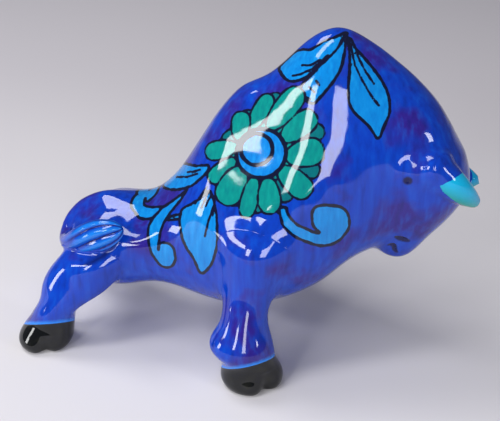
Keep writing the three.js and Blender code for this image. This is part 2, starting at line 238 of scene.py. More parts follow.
barrelAt = barrelCurve()


# The section at each point's place along the bull; its upper and lower heights change over at the
# flank by a tanh.
def barrelField(p):
    middle, above, below, half, roof = barrelAt(p[:, 0])
    up = p[:, 2] - middle
    upper = 0.5 + 0.5 * np.tanh(up / barrel["flankBlend"])
    small = thinnest["least"]
    height = 1 / (upper / np.maximum(above, small) + (1 - upper) / np.maximum(below, small))
    least = np.minimum(above, below)
    height = np.where(least > small, height, least)
    lower = cornerFlatness(barrel["lowerRoundness"])
    return sectionField(p[:, 1], up, half, height, lower + (roof - lower) * upper)


# The head lies along a line from poll to muzzle. Its sections are hundredths of that line's
# length, and of the depth and width. "space" is behind and under all of it, in millimetres.
head = {
    "poll": (38.5, 0, 64.9),
    "muzzle": (32.9, 0, 33),
    "depth": 51,
    "width": 52,
    "crownRound": 4,
    "chinRound": 3.6,
    "roundness": 2.1,
    "join": 11,
    "space": (50, 40),
    # down, face, jaw, half
    "sections": (
        (-23.4, 11.8, -21.6, 50),
        (-12.6, 26.5, -35.3, 76.9),
        (1.8, 41.2, -46.1, 96.2),
        (16.2, 47.6, -52, 100),
        (32.4, 46.9, -52.9, 98.1),
        (54, 39.4, -47.1, 82.7),
        (73.8, 30, -37.3, 67.3),
        (90, 22.4, -27.5, 55.8),
        (100.8, 14.7, -18, 40.4),
    ),
}

# What is worked into each side of the head: strokes from place to place, each so far down the head
# and towards its face.
brow = {"stroke": ((-6, -28), (-2, -18)), "radius": 12, "out": -8, "join": 6}
eye = {"stroke": ((8.4, -15.7),), "radius": 2.4, "out": 1.7, "join": 1.2}
nostril = {"stroke": ((71, -7), (73.5, 0.5), (75.5, 8)), "radius": 1.4, "out": 0.4, "join": 1}
mouth = {
    "stroke": ((84.3, -9.8), (82.6, -5.4), (88.8, -1.6), (92.4, 2)),
    "radius": 1.1,
    "out": 0.4,
    "join": 0.8,
}
faceMarks = (eye, nostril, mouth)
strokeEnd = 0.4  # how thick a pressed stroke is at its ends, as a share of its middle


# Places of a table, in hundredths, as points on the right or the left side.
def placed(places, side):
    at, out, up = np.array(places, float).T
    return np.stack([forward(at), side * outward(out), upward(up)], 1)


poll, muzzle = placed([head["poll"], head["muzzle"]], 1)
headLength = np.linalg.norm(muzzle - poll)
headDown = (muzzle - poll) / headLength
headFace = np.array([-headDown[2], 0, headDown[0]])


# The head's sections joined as the barrel's are.
def headCurve():
    down, face, jaw, half = np.array(head["sections"], float).T
    knots = extended(down / 100 * headLength, head["crownRound"], head["chinRound"])
    middle = tipped((face + jaw) / 200 * head["depth"])
    depth = tipped(((face - jaw) / 200 * head["depth"]) ** 2, 0)
    width = tipped((half / 200 * head["width"]) ** 2, 0)
    return smoothCurve(knots, [middle, depth, width])


headAt = headCurve()


# The section at each point's place down the head.
def headField(p):
    away = p - poll
    middle, depth, width = headAt(away @ headDown)
    flatness = cornerFlatness(head["roundness"])
    return sectionField(away @ headFace - middle, p[:, 1], depth, width, flatness)


# A point of the skin on the left side of the head, where its superellipse is solved for the side.
def headSkin(down, face):
    along = down / 100 * headLength
    out = face / 100 * head["depth"]
    middle, depth, width = [column[0] for column in headAt(np.array([along]))]
    n = head["roundness"]
    side = (1 - abs((out - middle) / math.sqrt(depth)) ** n) ** (1 / n)
    return poll + along * headDown + out * headFace + np.array([0, side * math.sqrt(width), 0])


# The middle line of a stroke as a smooth curve on the head's skin.
def strokePoints(mark, count=9):
    points = np.array([headSkin(*place) for place in mark["stroke"]])
    if len(points) == 1:
        return points
    return smoothCurve(np.arange(len(points)), points.T)(np.linspace(0, len(points) - 1, count)).T


# Distance to a row of points joined by straight lines, less a radius that is one per point.
def strandField(p, points, radius):
    radius = np.broadcast_to(radius, len(points))
    least = np.linalg.norm(p - points[0], axis=1) - radius[0]
    for a, b, ra, rb in zip(points[:-1], points[1:], radius[:-1], radius[1:]):
        t = np.clip((p - a) @ (b - a) / ((b - a) @ (b - a)), 0, 1)
        d = np.linalg.norm(p - a - t[:, None] * (b - a), axis=1) - (ra + (rb - ra) * t)
        least = np.minimum(least, d)
    return least


# A stroke thins towards both its ends by half a sine; a single point keeps its radius.
def markField(p, mark):
    points = mark["points"]
    swell = strokeEnd + (1 - strokeEnd) * np.sin(np.linspace(0, math.pi, len(points)))
    return strandField(p, points, mark["radius"] * (swell if len(points) > 1 else 1))


# Points with the right side laid over the left.
def folded(p):
    q = p.copy()
    q[:, 1] = np.abs(q[:, 1])
    return q


# Which points are near the head, and these points folded.
def nearHead(p):
    behind, under = head["space"]
    inHead = np.nonzero((p[:, 0] > behind) & (p[:, 2] > under))[0]
    return inHead, folded(p[inHead])


# Barrel and head with the swellings over the eyes.
def plainTrunk(p):
    made = joined(barrelField(p), headField(p), head["join"])
    inHead, q = nearHead(p)
    swelling = strandField(q, brow["points"], brow["radius"])
    made[inHead] = joined(made[inHead], swelling, brow["join"])
    return made


# The slope of a field, from its values at the corners of a small tetrahedron.
def gradient(field, p, step=0.35):
    ways = np.array([[1, 1, 1], [1, -1, -1], [-1, 1, -1], [-1, -1, 1]], float)
    return sum(field(p + step * way)[:, None] * way for way in ways) / (4 * step)


# The brow's middles lie under the head's own skin. Eye, nostril and mouth are set on the skin that
# it makes, by Newton's steps, and their middles are held out of it.
brow["points"] = strokePoints(brow)
brow["points"] = brow["points"] + brow["out"] * unit(gradient(headField, brow["points"]))
for mark in faceMarks:
    points = strokePoints(mark)
    for _ in range(4):
        slope = gradient(plainTrunk, points)
        points = points - (plainTrunk(points) / (slope * slope).sum(1))[:, None] * slope
    mark["points"] = points + mark["out"] * unit(gradient(plainTrunk, points))

# A leg is a column of level ellipses: how high, how far along and how far out the middle is, then
# half its length and width in hundredths of the hoof's radius. Toes point by an angle from ahead.
# A coronet is its height at the foot's middle and its slope in degrees.
foreleg = {
    "name": "foreleg",
    "toe": -50,
    "hoofRadius": 15.6,
    "cleft": 0.28,
    "coronet": (12.5, 28),
    "topRound": 3,
    "join": 14,
    # up, at, out, long, wide
    "sections": (
        (0, 4.8, 39, 91, 87),
        (1.8, 4.8, 39, 100, 95),
        (4.7, 4.7, 39, 98, 88),
        (8.3, 4, 39.4, 91, 78),
        (12.4, 2.7, 39.5, 102.6, 88),
        (17.7, 2.8, 37.7, 84, 81),
        (24.8, 3.2, 34.4, 72.5, 70),
        (30.7, 3.9, 31.7, 75, 71),
        (37.2, 4.6, 29.4, 94, 94),
        (43.7, 5.1, 27.4, 118.6, 104),
        (50.1, 5.3, 20.9, 109, 89.7),
    ),
}

hindleg = {
    "name": "hindleg",
    "toe": -72,
    "hoofRadius": 15.4,
    "cleft": 0.28,
    "coronet": (11, 30),
    "topRound": 3,
    "join": 10,
    "sections": (
        (0, -44, 25.9, 83.8, 89.6),
        (1.8, -43.9, 25.9, 92.9, 100),
        (4.7, -43.4, 25.5, 90.9, 93.5),
        (7.7, -42.5, 24.8, 81.2, 83),
        (11.8, -41.1, 24.7, 73.4, 75.5),
        (15.9, -38.8, 23.9, 87, 74),
        (20.6, -36.2, 22, 116.9, 77.9),
        (25.4, -34.3, 20, 116.9, 82),
        (30.1, -32, 18, 110.4, 80),
        (35.4, -30.5, 12, 90.9, 61.7),
    ),
}

hoof = {"cleftWidth": math.radians(18), "soleRound": 1.6}


# The ellipses joined by smooth curves over height, with half axes kept squared.
def legCurve(leg):
    up, at, out, long, wide = np.array(leg["sections"], float).T
    knots = np.append(upward(up), upward(up[-1] + leg["topRound"]))
    middles = [np.append(forward(at), forward(at[-1])), np.append(outward(out), outward(out[-1]))]
    squares = [np.append((size / 100 * leg["hoofRadius"]) ** 2, 0) for size in (long, wide)]
    return smoothCurve(knots, middles + squares)


for leg in (foreleg, hindleg):
    leg["curve"] = legCurve(leg)


# A level ellipse, pinched where the toes point by a bell of the angle from them that fades up to
# the coronet, and cut off by the ground. Both sides are measured on the right.
def legField(p, leg):
    at, out, long, wide = leg["curve"](p[:, 2])
    a = p[:, 0] - at
    b = out - np.abs(p[:, 1])
    toe = math.radians(leg["toe"])
    angle = np.arctan2(b / np.sqrt(np.maximum(wide, 1)), a / np.sqrt(np.maximum(long, 1))) - toe
    away = np.arctan2(np.sin(angle), np.cos(angle))
    fade = np.clip(1 - p[:, 2] / leg["coronet"][0], 0, 1)
    pinch = 1 - leg["cleft"] * fade * (2 - fade) * np.exp(-((away / hoof["cleftWidth"]) ** 2))
    return carved(sectionField(a, b, long, wide, 0, pinch), p[:, 2], hoof["soleRound"])


# The plane where hoof and shank meet rises towards the toes. Height above it, on the right.
def aboveCoronet(p, leg):
    height, slope = leg["coronet"]
    toe, tilt = math.radians(leg["toe"]), math.radians(slope)
    rise = math.sin(tilt)
    normal = np.array([-rise * math.cos(toe), -rise * math.sin(toe), math.cos(tilt)])
    foot = leg["sections"][0]
    return (p - np.array([forward(foot[1]), -outward(foot[2]), height])) @ normal


# A horn from its root inside the head to a blunt tip: radii and rounds in millimetres, and
# "rootRound" and the collar's "from" and "to" as shares of its length.
horn = {
    "rootRadius": 9.6,
    "rootRound": 0.3,
    "rootDrawn": 0.9,
    "midRadius": 8.2,
    "midWeight": 0.6,
    "tipRadius": 3.4,
    "tipRound": 2.6,
    "collar": {"from": 0.04, "to": 0.4, "proud": 1.5},
    "join": 4,
    "across": (0.3, 0, 1),
    "rings": 80,
    "around": 96,
    # at, out, up
    "right": ((36.6, 10.8, 67.4), (42.2, 22, 63.8), (48.5, 9.7, 53.6)),
    "left": ((38.5, 10, 58), (43.6, 14.3, 54.6), (49.2, 9, 53)),
}

# The tail and its tuft, in millimetres and in shares of the tail's length. The locks are combed:
# "lockWave" is how far they swing, and how many radians of swing there are along the tail.
tail = {
    "stem": 4.6,
    # at, out, up
    "path": (
        (-27.5, 0, 39.5),
        (-32.2, 0, 40.9),
        (-36, 0, 38.9),
        (-39, 1.2, 35.4),
        (-40.1, 6.2, 31.9),
        (-38.8, 13.9, 31.6),
        (-34.7, 20.5, 35.1),
        (-29.6, 23.2, 38.9),
        (-24.5, 24, 41.9),
    ),
    "tuftRadius": 8.6,
    "tuftDepth": 5,
    "tuftFrom": 0.5,
    "tuftFull": 0.83,
    "tuftTaper": 0.97,
    "tipRound": 0.8,
    "locks": 8,
    "lockDepth": 0.2,
    "lockWave": (1.6, 5),
    "lockMiddle": 1.3,
    "grooveWidth": 0.3,
    "stemJoin": 11,
    "tuftJoin": 3,
    "joinChange": (0.3, 0.55),
    "rings": 150,
    "around": 168,
}


# Points spread evenly by length along a dense row of points, and the way along it at each.
def evenly(points, count):
    run = np.concatenate([[0], np.cumsum(np.linalg.norm(np.diff(points, axis=0), axis=1))])
    marks = np.linspace(0, run[-1], count)
    even = np.stack([np.interp(marks, run, column) for column in points.T], 1)
    return even, unit(np.gradient(even, axis=0))


# A sweep is a row of sections: middles, two ways across each, half widths along those, and how
# widely the clay is smoothed on. A horn's middles and radii are quadratic Bezier curves. Inside the
# head its root is drawn in round, and a collar of clay is smoothed round it by a sine squared.
def hornSweep(sideName):
    count = horn["rings"]
    a, b, c = placed(horn[sideName], sides[sideName])
    t = np.linspace(0, 1, 400)
    weights = np.stack([(1 - t) ** 2, 2 * t * (1 - t), t**2], 1)
    middle, along = evenly(weights @ np.stack([a, b, c]), count)
    radii = weights @ np.array([horn["rootRadius"], horn["midRadius"], horn["tipRadius"]])
    s = np.linspace(0, 1, count)
    radius = np.interp(s, weights @ np.array([0, horn["midWeight"], 1]), radii)
    collar = horn["collar"]
    across = np.clip((s - collar["from"]) / (collar["to"] - collar["from"]), 0, 1)
    radius = radius + collar["proud"] * np.sin(math.pi * across) ** 2
    inside = np.maximum(1 - s / horn["rootRound"], 0)
    radius = radius * np.sqrt(1 - horn["rootDrawn"] * inside**2)
    first = unit(np.cross(along, horn["across"]))
    return {
        "middle": middle,
        "along": along,
        "first": first,
        "second": unit(np.cross(first, along)),
        "wide": radius,
        "deep": radius,
        "join": np.full(count, horn["join"]),
        "tip": horn["tipRound"],
    }


# The tail runs on a cubic through its places, spaced by the root of their distance. Its round stem
# widens into a flat tuft, which ends in half an ellipse.
def tailSweep():
    count = tail["rings"]
    points = placed(tail["path"], sides["right"])
    knots = np.concatenate([[0], np.cumsum(np.linalg.norm(np.diff(points, axis=0), axis=1) ** 0.5)])
    middle, along = evenly(smoothCurve(knots, points.T)(np.linspace(0, knots[-1], 600)).T, count)
    t = np.linspace(0, 1, count)
    bushy = smoothStep(t, tail["tuftFrom"], tail["tuftFull"])
    past = np.maximum((t - tail["tuftFull"]) / (1 - tail["tuftFull"]), 0)
    end = np.sqrt(1 - (tail["tuftTaper"] * past) ** 2)
    loosened = smoothStep(t, *tail["joinChange"])
    first = unit(np.cross(along, [0, sides["right"], 0]))
    return {
        "middle": middle,
        "along": along,
        "first": first,
        "second": unit(np.cross(first, along)),
        "wide": (tail["stem"] + (tail["tuftRadius"] - tail["stem"]) * bushy) * end,
        "deep": (tail["stem"] + (tail["tuftDepth"] - tail["stem"]) * bushy) * end,
        "join": tail["stemJoin"] + (tail["tuftJoin"] - tail["stemJoin"]) * loosened,
        "tip": tail["tipRound"],
        "bushy": bushy,
    }


# In millimetres: points further off than the reach get the far distance and join, and a sweep goes
# on a little past its last middle.
sweeping = {"reach": 14, "far": 60.0, "farJoin": 3.0, "past": 0.5}


# Distance to a sweep, nearly, and how widely it is smoothed on: the section between the two middles
# that a point lies nearest to.
def sweptField(p, sweep):
    field = np.full(len(p), sweeping["far"])
    join = np.full(len(p), sweeping["farJoin"])
    reach = sweeping["reach"]
    low = sweep["middle"].min(0) - sweep["wide"].max() - reach
    high = sweep["middle"].max(0) + sweep["wide"].max() + reach
    near = np.nonzero(((p > low) & (p < high)).all(1))[0]
    if not len(near):
        return field, join
    q = p[near]
    middle = sweep["middle"]
    last = len(middle) - 1
    i = np.argmin((middle**2).sum(1)[None] - 2 * q @ middle.T, 1)
    spacing = np.linalg.norm(middle[1] - middle[0])
    shift = ((q - middle[i]) * sweep["along"][i]).sum(1) / spacing
    place = np.clip(i + np.clip(shift, -1, 1), 0, last)
    beyond = np.abs(i + shift - place) * spacing * ((i == 0) | (i == last))
    before = np.minimum(place.astype(int), last - 1)
    share = place - before

    def between(key):
        values = sweep[key]
        part = share[:, None] if values.ndim > 1 else share
        return values[before] * (1 - part) + values[before + 1] * part

    away = q - between("middle")
    a = (away * between("first")).sum(1)
    b = (away * between("second")).sum(1)
    across = sectionField(a, b, between("wide") ** 2, between("deep") ** 2)
    field[near] = np.maximum(across, beyond - sweeping["past"])
    join[near] = between("join")
    return field, join


sweeps = {"right_horn": hornSweep("right"), "left_horn": hornSweep("left"), "tail": tailSweep()}

handwork = {"height": 0.07, "length": 31}  # millimetres


# Slow unevenness that a hand leaves in pressed clay: two trains of crossing sine waves.
def unevenness(p):
    x, y, z = (p * (2 * math.pi / handwork["length"])).T
    waves = np.sin(x + 1.3 * np.sin(0.7 * z)) * np.cos(0.8 * z + 0.9 * y)
    return handwork["height"] * (waves + np.sin(0.6 * y + 1.1 * z + x))


# Barrel and head with what is worked into them, before horns, legs and tail are luted on.
def trunkField(p):
    made = plainTrunk(p)
    inHead, q = nearHead(p)
    part = made[inHead]
    for mark in faceMarks:
        part = carved(part, markField(q, mark), mark["join"])
    made[inHead] = part
    return made + unevenness(p)


# The whole skin, and each thing that it joins.
def skinParts(p):
    trunk = trunkField(p)
    fore, hind = legField(p, foreleg), legField(p, hindleg)
    whole = joined(joined(trunk, fore, foreleg["join"]), hind, hindleg["join"])
    added = np.full(len(p), sweeping["far"])
    for sweep in sweeps.values():
        part, join = sweptField(p, sweep)
        whole = joined(whole, part, join)
        added = np.minimum(added, part + join)
    return whole, trunk, fore, hind, added


diveWithin = 0.8  # how soon a covered skin dives, in millimetres of the fields' difference


# Sinks a piece's skin under the piece that covers it: by nothing where t is 0, then by all of t.
def dive(t):
    return np.maximum(t, 0) * smoothStep(t, 0, diveWithin)


# Body, forelegs and hind legs show the whole skin where they are its clay, and dive elsewhere.
def bodyField(p):
    whole, trunk, fore, hind, added = skinParts(p)
    return whole + dive(trunk - np.minimum(np.minimum(fore, hind), added))


def forelegField(p):
    whole, trunk, fore, hind, added = skinParts(p)
    return whole + dive(fore - np.minimum(trunk, added))


def hindlegField(p):
    whole, trunk, fore, hind, added = skinParts(p)
    return whole + dive(hind - np.minimum(trunk, added))


newton = {"flattest": 0.05, "longest": 1.5}


# Newton's steps on to the skin, none longer than 1.5 mm. Points on the seam stay on it.
def settle(field, p, seam, times):
    for _ in range(times):
        slope = gradient(field, p)
        slope[seam, 1] = 0
        size = np.maximum((slope * slope).sum(1), newton["flattest"])
        move = (field(p) / size)[:, None] * slope
        length = np.linalg.norm(move, axis=1)[:, None]
        p = p - move * np.minimum(1, newton["longest"] / np.maximum(length, 1e-9))
    return p


# A net of four-sided faces over the zero of a field. Each cell of a grid that the skin passes
# through gives the mean of its edge crossings, and each crossed edge joins the four cells round
# it. For one side of the bull the first layer of cells straddles the seam, where the net ends.
def skinNet(field, low, high, cell, side):
    axes = [np.arange(a, b + cell, cell) for a, b in zip(low, high)]
    if side:
        reach = max(abs(low[1]), abs(high[1]))
        axes[1] = side * cell * (np.arange(math.ceil(reach / cell) + 2) - 0.5)
    grid = np.stack(np.meshgrid(*axes, indexing="ij"), -1)
    values = field(grid.reshape(-1, 3)).reshape(grid.shape[:3])
    cells = np.array(grid.shape[:3]) - 1
    total = np.zeros((*cells, 3))
    hits = np.zeros(cells)
    crossings = []
    for axis in range(3):
        start, end = [slice(None)] * 3, [slice(None)] * 3
        start[axis], end[axis] = slice(None, -1), slice(1, None)
        a, b = values[tuple(start)], values[tuple(end)]
        crossed = (a < 0) != (b < 0)
        i = np.argwhere(crossed)
        share = (a[crossed] / (a[crossed] - b[crossed]))[:, None]
        point = grid[tuple(start)][crossed] * (1 - share) + grid[tuple(end)][crossed] * share
        across = [k for k in range(3) if k != axis]
        around = []
        for shift in ((0, 0), (0, 1), (1, 1), (1, 0)):
            c = i.copy()
            c[:, across] -= shift
            inGrid = ((c >= 0) & (c < cells)).all(1)
            np.add.at(total, tuple(c[inGrid].T), point[inGrid])
            np.add.at(hits, tuple(c[inGrid].T), 1)
            around.append((c, inGrid))
        whole = np.logical_and.reduce([inGrid for _, inGrid in around])
        whole &= (i[:, 1] > 0) | (side == 0)
        flip = (a[crossed] < 0) ^ (axis == 1) ^ (side < 0)
        crossings.append((around, whole, flip))
    used = hits > 0
    number = np.full(hits.shape, -1)
    number[used] = np.arange(used.sum())
    quads = []
    for around, whole, flip in crossings:
        quad = np.stack([number[tuple(c[whole].T)] for c, _ in around], 1)
        quads.append(np.where(flip[whole][:, None], quad[:, ::-1], quad))
    points = total[used] / hits[used][:, None]
    seam = (np.argwhere(used)[:, 1] == 0) & (side != 0)
    points[seam, 1] = 0
    keep, quads = np.unique(np.concatenate(quads), return_inverse=True)
    return points[keep], quads.reshape(-1, 4), seam[keep]


# Every edge of a mesh once, and the edge that each side of each face is.
def edgesOf(faces):
    pairs = np.stack([faces, np.roll(faces, -1, 1)], 2).reshape(-1, 2)
    return np.unique(np.sort(pairs, 1), axis=0, return_inverse=True)


# Each vertex goes half way to the mean of its neighbours and back on to the skin.
def relax(field, points, quads, seam, times):
    edges, _ = edgesOf(quads)
    alongSeam = seam[edges].all(1)
    for _ in range(times):
        total = np.zeros_like(points)
        weight = np.zeros(len(points))
        for a, b in ((0, 1), (1, 0)):
            free = ~seam[edges[:, a]] | alongSeam
            np.add.at(total, edges[free, a], points[edges[free, b]])
            np.add.at(weight, edges[free, a], 1)
        goal = total / np.maximum(weight, 1)[:, None]
        points = points + 0.5 * (goal - points) * (weight > 0)[:, None]
        points = settle(field, points, seam, 1)
    return points


# Every face becomes four, with new points on its edges and at its middle.
def quartered(points, quads, seam):
    edges, which = edgesOf(quads)
    which = which.reshape(-1, 4) + len(points)
    centre = np.arange(len(quads)) + len(points) + len(edges)
    made = np.concatenate([points, points[edges].mean(1), points[quads].mean(1)])
    onSeam = np.concatenate([seam, seam[edges].all(1), np.zeros(len(quads), bool)])
    parts = [np.stack([quads[:, k], which[:, k], centre, which[:, k - 1]], 1) for k in range(4)]
    return made, np.concatenate(parts), onSeam


# The skin of a field in a box as triangles, split along the shorter way across each face.
def skinOf(field, low, high, cell, side=0):
    points, quads, seam = skinNet(field, low, high, cell, side)
    points = settle(field, points, seam, 3)
    points = relax(field, points, quads, seam, 3)
    points, quads, seam = quartered(points, quads, seam)
    points = settle(field, points, seam, 2)
    p = points[quads]
    one = np.linalg.norm(p[:, 0] - p[:, 2], axis=1)
    other = np.linalg.norm(p[:, 1] - p[:, 3], axis=1)
    short = (one < other)[:, None]
    first = np.where(short, quads[:, [0, 1, 2]], quads[:, [0, 1, 3]])
    second = np.where(short, quads[:, [0, 2, 3]], quads[:, [1, 2, 3]])
    return points, np.concatenate([first, second]), seam


# Keeps the part of a mesh where a value is below zero, and cuts the triangles that straddle it.
def cutAlong(points, faces, value):
    value = np.where(np.abs(value) < 1e-6, 1e-6, value)
    below = (value[faces] < 0).sum(1)
    mixed = faces[(below == 1) | (below == 2)]
    under = value[mixed] < 0
    oneUnder = under.sum(1) == 1
    lone = np.where(oneUnder, np.argmax(under, 1), np.argmin(under, 1))
    a, b, c = [mixed[np.arange(len(mixed)), (lone + k) % 3] for k in range(3)]
    ends = np.concatenate([np.stack([a, b], 1), np.stack([a, c], 1)])
    edges, which = np.unique(np.sort(ends, 1), axis=0, return_inverse=True)
    share = (value[edges[:, 0]] / (value[edges[:, 0]] - value[edges[:, 1]]))[:, None]
    fresh = points[edges[:, 0]] * (1 - share) + points[edges[:, 1]] * share
    onFirst, onSecond = which.reshape(2, -1) + len(points)
    kept = [faces[below == 3], np.stack([a, onFirst, onSecond], 1)[oneUnder]]
    kept.append(np.stack([b, c, onSecond], 1)[~oneUnder])
    kept.append(np.stack([b, onSecond, onFirst], 1)[~oneUnder])
    keep, numbered = np.unique(np.concatenate(kept), return_inverse=True)
    return np.concatenate([points, fresh])[keep], numbered.reshape(-1, 3)


noCaps = np.zeros((0, 3), int)


# Flat triangles that close each open border of a mesh, turned the way the skin turns. A border is
# followed in doubling strides: the row so far, then the same row moved on by its own length, until
# a point comes back.
def caps(points, faces):
    pairs = np.concatenate([faces[:, [0, 1]], faces[:, [1, 2]], faces[:, [2, 0]]])
    there = pairs[:, 0] * len(points) + pairs[:, 1]
    back = pairs[:, 1] * len(points) + pairs[:, 0]
    border = pairs[~np.isin(back, there)]
    onward = np.arange(len(points))
    onward[border[:, 1]] = border[:, 0]
    made = [noCaps]
    while len(border):
        loop, stride = border[-1:, 1], onward
        while len(np.unique(loop)) == len(loop):
            loop = np.concatenate([loop, stride[loop]])
            stride = stride[stride]
        loop = loop[: len(np.unique(loop))]
        border = border[~np.isin(border[:, 1], loop)]
        filled = geometry.tessellate_polygon([points[loop].tolist()])
        if not filled:
            continue
        filled = loop[np.array(filled)]
        run = loop * len(points) + np.roll(loop, -1)
        after = np.roll(filled, -1, 1)
        agree = np.isin(filled * len(points) + after, run).sum()
        against = np.isin(after * len(points) + filled, run).sum()
        made.append(filled if agree >= against else filled[:, ::-1])
    return np.concatenate(made)


# The flower and leaves are painted on each side of the hump and barrel. They are drawn flat, in
# millimetres to the right and up on a plane that faces the photograph's camera, and carried
# straight on to the clay. Depths into a paint are kept on the mesh: "edge" is its border and 0 is
# well outside it. "facing" keeps paint off clay that the plane sees edge on.
painting = {"origin": (12.45, -32.12, 118.26), "edge": 4, "reach": 9.0, "facing": 0.05}
brushWidths = {"petal": 1.1, "leaf": 1.5, "vein": 1.2}

# Each petal lies between two points and has a half width. Later ones lie over earlier ones.
backPetals = (
    ((4, 12), (7.2, 28.5), 4),
    ((14, 8), (29.2, 9.6), 4.5),
    ((14, -5), (27, -9.6), 4.2),
    ((8, -12), (12.6, -22.8), 4.2),
    ((-1, -13), (-2.4, -28.2), 4),
    ((-8, -11), (-12.4, -24.4), 4.2),
    ((-12, 5), (-17.2, 10.4), 4.2),
    ((-6, 10), (-7, 21), 4),
)
frontPetals = (
    ((-5, 11.4), (4.5, 28), 4.4),
    ((-10.4, 6), (-9, 20.4), 4.8),
    ((-11, 3.6), (-27, 1.1), 5),
    ((-12, -2.3), (-24.8, -12.9), 4.4),
    ((-8.6, -6.4), (-18.4, -23.8), 7),
    ((-2.6, -10.5), (-7.6, -30.4), 4.4),
    ((3, -11.5), (4.5, -28.6), 5.6),
    ((8.6, -7.2), (22.7, -19.9), 6),
    ((11.4, -2.4), (29, 1.4), 6.8),
    ((9.6, 5.6), (25, 17.8), 5.8),
    ((3.4, 11), (18.4, 29.6), 6),
)

# Leaves and curls: the outline's points in turn, then the strokes of the brush inside it.
leaves = {
    "small": (
        (
            (-25.4, -5.2), (-31.3, -5), (-35.8, -3.9), (-40.7, -2.5), (-45, -5.3), (-49.3, -8.9),
            (-50.8, -12.2), (-50, -14.7), (-46.1, -16.2), (-40.6, -16.3), (-35.4, -15.3),
            (-32, -13.5), (-28.7, -10.9), (-25.8, -7.9),
        ),
        (
            ((-36.1, -7.8), (-32.5, -7.7), (-29.6, -6.9)),
            ((-42.4, -9.9), (-36.4, -10.2), (-30.8, -9)),
        ),
    ),
    "curlTop": (
        (
            (-49.5, -25.5), (-50.9, -25.1), (-57.2, -25.1), (-59.9, -23.8), (-59.9, -20.5),
            (-58.8, -22.2), (-56.7, -21.3), (-53.5, -17.6), (-52.9, -13.8), (-55.9, -13.8),
            (-59.8, -15.4), (-64.9, -18.3), (-66.8, -21.7), (-66.8, -24.6), (-64.7, -27.5),
            (-61.4, -30.8), (-56.7, -31.2), (-54.1, -30),
        ),
        (),
    ),
    "stem": (((-46.3, -30.3), (-39.9, -28.7), (-36.9, -27.1), (-39.4, -30.7), (-45.4, -31.7)), ()),
    "curlLow": (
        (
            (-36.2, -16.5), (-37.9, -18), (-45.6, -23.1), (-50.4, -26.3), (-54.5, -31.2),
            (-56.5, -35.2), (-56.8, -39.2), (-55.9, -45.3), (-54.3, -50.1), (-50.9, -54.7),
            (-47.6, -55.9), (-44.5, -54.9), (-42.7, -51.9), (-42.9, -47.1), (-44.6, -44.3),
            (-47.9, -43.1), (-50.4, -43.6), (-51.3, -46.8), (-50.8, -42.4), (-50.4, -38.4),
            (-48.8, -33.9), (-46.3, -29.5), (-43, -25.5), (-39.6, -21.6),
        ),
        (),
    ),
    "low": (
        (
            (-23.8, -18.7), (-25, -17.5), (-29, -20.9), (-34.4, -24), (-38.6, -26.3),
            (-39.9, -30.3), (-39.9, -34.2), (-38.6, -40.9), (-36.6, -45.3), (-33, -50.8),
            (-29.6, -57.9), (-25.4, -55.3), (-22.9, -50.4), (-21.2, -44.5), (-20.8, -38.6),
            (-21.1, -30.9), (-21.9, -25.2), (-22.6, -21.8),
        ),
        (
            ((-25, -17.5), (-27, -21.7), (-28.6, -25.6)),
            ((-26.6, -24.8), (-23.8, -19.5)),
            ((-31.9, -23.6), (-25.8, -15.6)),
            ((-27.1, -39.5), (-25.1, -31.7), (-23.8, -28.6), (-22.6, -24.8)),
            ((-23.1, -29.4), (-22.2, -23.3)),
        ),
    ),
    "crestFront": (
        (
            (40, 55.3), (33.9, 52.9), (29.1, 51.2), (25.6, 49), (22.7, 47.7), (19.1, 48.5),
            (16.2, 48.1), (12.3, 44.9), (8.8, 41.5), (9.8, 37.4), (11.9, 34.4), (14.9, 33.2),
            (18.6, 33.7), (22.3, 35.7), (28.3, 40.9), (34.4, 46.6),
        ),
        (
            ((19.1, 40.5), (22.4, 40.1), (26.9, 42.2)),
            ((14.9, 35.9), (17.9, 36.1), (23.8, 38.4), (30.6, 44.3)),
        ),
    ),
    "crestBack": (
        (
            (39.5, 54.8), (34.4, 46.6), (28.3, 40.9), (23.8, 36), (19.3, 31.6), (18.5, 29.3),
            (19.3, 26.6), (21.1, 23.4), (24.4, 22.5), (27.4, 25.4), (30.4, 28.8), (33.4, 32.6),
            (36.1, 37.2), (37.7, 42.6), (38.7, 48.7),
        ),
        (((20.7, 25.3), (22.6, 24.1)), ((22.2, 29.9), (24.4, 27.5)), ((25.2, 32.8), (26.7, 30.8))),
    ),
    "neck": (
        (
            (40.4, 52.1), (40.5, 46.6), (40.7, 40.7), (40.4, 34.9), (40, 29.2), (40.2, 23.5),
            (41.8, 19.4), (45.7, 15.3), (50, 11.3), (54, 6.1), (56.5, 11.7), (58.8, 17),
            (59.2, 22), (58.4, 26.6), (55.8, 32.2), (51.6, 38.4), (46.7, 44.1), (43.3, 48),
            (41.6, 52.1),
        ),
        (
            ((41.1, 50), (43, 39.6), (46.8, 32), (50.6, 25.6), (54.1, 21.3)),
            ((43.6, 45.6), (47.6, 37.4), (51.8, 31.3)),
        ),
    ),
    "curlRight": (
        (
            (8.5, -25.9), (9.3, -30.1), (10.2, -33.6), (12.2, -36.1), (15.7, -39), (20.1, -41.1),
            (24.5, -42.8), (28.9, -43.7), (33.3, -43.2), (37.6, -40.9), (40.7, -37.4),
            (41.9, -33.6), (41, -28.7), (38.3, -25.9), (34.8, -24.8), (30.2, -24.5), (26.2, -25),
            (24.3, -26.7), (23.8, -30.1), (24.8, -34.4), (27.7, -37.2), (25.4, -37.3),
            (21.4, -35.6), (17, -33.6), (14.2, -31), (12.4, -27.9), (11.8, -25.6),
        ),
        (),
    ),
}

# The middle of the flower: a wide disc and a narrow one, each a middle, a radius and a line. A
# round of green lies under the petals.
discs = (((0, 0), 11.6, 2), ((-2, 1.9), 7.4, 2))
underPetals = 19


